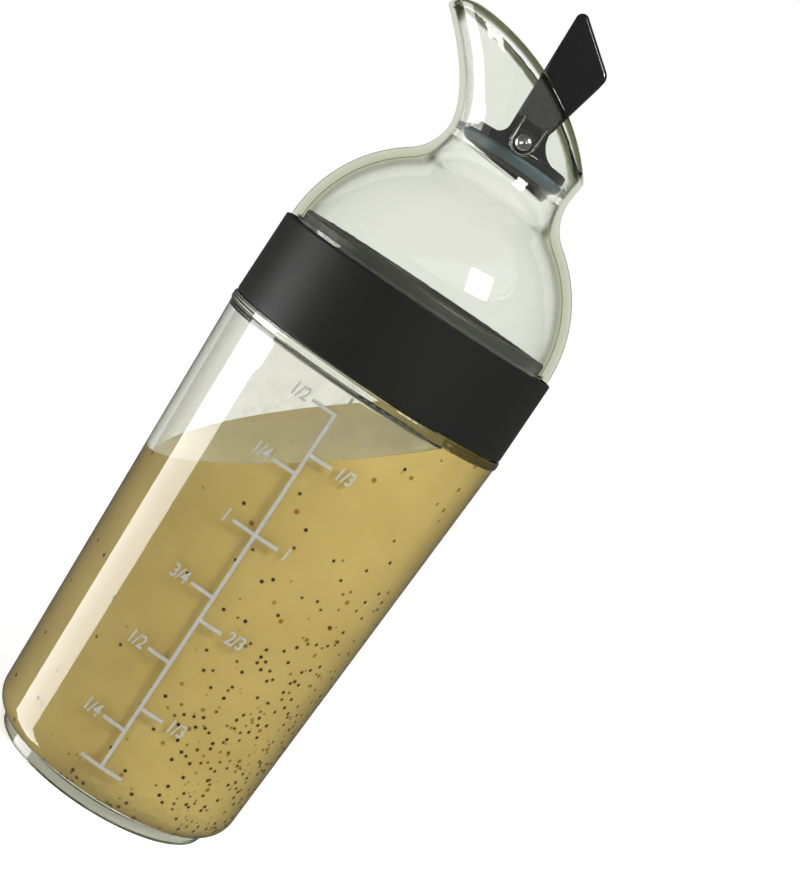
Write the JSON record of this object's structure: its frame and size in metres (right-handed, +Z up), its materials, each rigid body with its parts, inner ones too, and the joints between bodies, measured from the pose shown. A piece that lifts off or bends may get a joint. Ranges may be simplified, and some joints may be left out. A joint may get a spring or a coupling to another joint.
{
  "type": "salad dressing shaker",
  "caption": "Clear tapered shaker bottle with printed volume marks, a screw-on pouring lid with a soft grip collar, a slanted spout and a lever that swings its sealing stopper open.",
  "frame": {"origin": "The middle of the foot ring, on the plane that it rests on.", "axes": "+Z runs up the bottle's axis. The spout points to -X and the lever's thumb pad leans to +X. The cup scale faces -Y."},
  "size_m": [0.0754, 0.0754, 0.2146],
  "materials": {
    "clear_body": "clear injection-moulded plastic",
    "clear_lid": "clear injection-moulded plastic",
    "scale_print": "pale grey screen print",
    "dressing": "mustard dressing",
    "dark_silicone": "dark moulded silicone",
    "grip_rubber": "satin overmoulded elastomer",
    "steel": "bright turned stainless",
    "black_plastic": "polished injection-moulded plastic",
    "seal_silicone": "blue-grey moulded silicone"
  },
  "bodies": {
    "bottle_body": {"bottle": "clear_body", "cup_scale": "scale_print", "ounce_scale": "scale_print", "dressing": "dressing"},
    "gasket_body": {"lid_gasket": "dark_silicone"},
    "lid_body": {"lid_shell": "clear_lid", "grip_collar": "grip_rubber", "pivot_pin": "steel", "pin_cap": "steel"},
    "stopper_body": {"lever": "black_plastic", "stopper_seal": "seal_silicone", "stopper_plug": "black_plastic"}
  },
  "joints": [
    {"name": "lid_lift", "type": "slide", "parent": "bottle_body", "child": "gasket_body", "axis": [0, 0, 1], "range_m": [0, 0.0241]},
    {"name": "lid_turn", "type": "hinge", "parent": "gasket_body", "child": "lid_body", "pos_m": [0, 0, 0.128], "axis": [0, 0, 1], "range_deg": [0, 720]},
    {"name": "lever_pivot", "type": "hinge", "parent": "lid_body", "child": "stopper_body", "pos_m": [0, 0, 0.1819], "axis": [0, 1, 0], "range_deg": [0, 40]}
  ],
  "couplings": [
    {"joint": "lid_lift", "follows": "lid_turn", "m_per_rad": 0.0019099}
  ]
}
